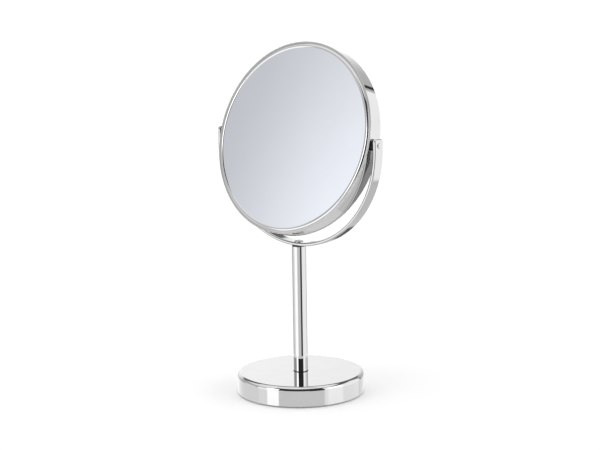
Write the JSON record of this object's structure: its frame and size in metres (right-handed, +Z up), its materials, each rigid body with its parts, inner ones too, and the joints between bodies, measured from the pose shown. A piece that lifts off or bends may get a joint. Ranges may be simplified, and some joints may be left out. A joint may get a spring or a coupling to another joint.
{
  "type": "shaving mirror",
  "caption": "Free-standing round double-sided shaving mirror that flips in a U-shaped yoke on a telescopic post with a weighted round base.",
  "frame": {"origin": "centre of the base's underside, on the surface it stands on", "axes": "+Z up along the post, X along the pivot axis of the mirror head, the plain mirror faces -Y and is tipped back"},
  "size_m": [0.1932, 0.12, 0.3294],
  "materials": {
    "chrome_steel": "polished",
    "mirror_glass": "polished",
    "black_nylon": "satin",
    "white_nylon": "satin",
    "zinc_steel": "satin",
    "cast_iron": "matte",
    "tray_plastic": "matte",
    "foam_pad": "matte",
    "card": "matte"
  },
  "bodies": {
    "base": {"base_pad": "foam_pad", "base_plate": "tray_plastic", "base_weight": "cast_iron", "base_cover": "chrome_steel", "base_bolt": "zinc_steel", "base_bolt_washer": "zinc_steel", "post_gasket": "black_nylon", "outer_tube": "chrome_steel", "post_foot_plug": "zinc_steel", "post_bush": "black_nylon"},
    "slider": {"inner_tube": "chrome_steel", "inner_tube_plug": "zinc_steel", "slide_piston": "white_nylon", "friction_ring": "white_nylon", "yoke_seat_disc": "white_nylon", "yoke_screw": "chrome_steel", "yoke_spring_washer": "zinc_steel"},
    "yoke": {"yoke": "chrome_steel"},
    "head": {"head_hoop": "chrome_steel", "front_bezel": "chrome_steel", "rear_bezel": "chrome_steel", "plain_mirror": "mirror_glass", "magnifying_mirror": "mirror_glass", "mirror_spacer": "white_nylon", "backing_card": "card", "pivot_rivet_left": "chrome_steel", "pivot_rivet_right": "chrome_steel", "pivot_washer_left": "black_nylon", "pivot_washer_right": "black_nylon", "rivet_washer_left": "zinc_steel", "rivet_washer_right": "zinc_steel"}
  },
  "joints": [
    {"name": "post_extension", "type": "slide", "parent": "base", "child": "slider", "axis": [0, 0, 1], "range_m": [0, 0.075]},
    {"name": "yoke_swivel", "type": "hinge", "parent": "slider", "child": "yoke", "pos_m": [0, 0, 0.1406], "axis": [0, 0, 1], "continuous": true},
    {"name": "head_tilt", "type": "hinge", "parent": "yoke", "child": "head", "pos_m": [0, 0, 0.241], "axis": [-1, 0, 0], "continuous": true}
  ]
}
